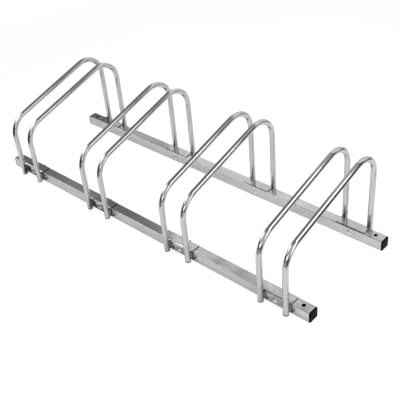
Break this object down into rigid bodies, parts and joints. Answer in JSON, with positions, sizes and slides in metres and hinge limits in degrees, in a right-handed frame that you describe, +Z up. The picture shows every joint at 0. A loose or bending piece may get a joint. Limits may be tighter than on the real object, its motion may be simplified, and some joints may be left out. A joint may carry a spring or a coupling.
{
  "type": "floor bike rack",
  "caption": "Floor-standing bicycle rack: square steel rails joined by bent tube loops on folded, bolted brackets, so that each wheel rolls in and stands between a pair of loops.",
  "frame": {"origin": "on the floor, under the middle of the rack", "axes": "+X along the rails, to the right as seen from the side the wheels roll in; +Y from the front rail to the rear rail; +Z up"},
  "size_m": [1, 0.335, 0.2382],
  "materials": {
    "rail_steel": "bright zinc plated square tube, satin, with fine drawing lines",
    "bracket_steel": "bright zinc plated folded sheet, satin",
    "loop_chrome": "bright plated round tube, near mirror",
    "bolt_steel": "bright zinc plated",
    "washer_steel": "bright zinc plated",
    "nut_steel": "bright zinc plated",
    "weld_steel": "plated weld metal, uneven",
    "cap_plastic": "black moulded polyethylene, satin"
  },
  "bodies": {
    "root": {"front_rail": "rail_steel", "end_cap_front_left": "cap_plastic", "end_cap_front_right": "cap_plastic", "front_bracket_1": "bracket_steel", "front_bracket_2": "bracket_steel", "front_bracket_3": "bracket_steel", "front_bracket_4": "bracket_steel", "rear_rail": "rail_steel", "end_cap_rear_left": "cap_plastic", "end_cap_rear_right": "cap_plastic", "rear_bracket_1": "bracket_steel", "rear_bracket_2": "bracket_steel", "rear_bracket_3": "bracket_steel", "rear_bracket_4": "bracket_steel", "wheel_loop_1_left": "loop_chrome", "wheel_loop_1_right": "loop_chrome", "wheel_loop_2_left": "loop_chrome", "wheel_loop_2_right": "loop_chrome", "wheel_loop_3_left": "loop_chrome", "wheel_loop_3_right": "loop_chrome", "wheel_loop_4_left": "loop_chrome", "wheel_loop_4_right": "loop_chrome", "front_bolts": "bolt_steel", "front_washers": "washer_steel", "front_nuts": "nut_steel", "front_weld_beads": "weld_steel", "rear_bolts": "bolt_steel", "rear_washers": "washer_steel", "rear_nuts": "nut_steel", "rear_weld_beads": "weld_steel"}
  },
  "joints": []
}
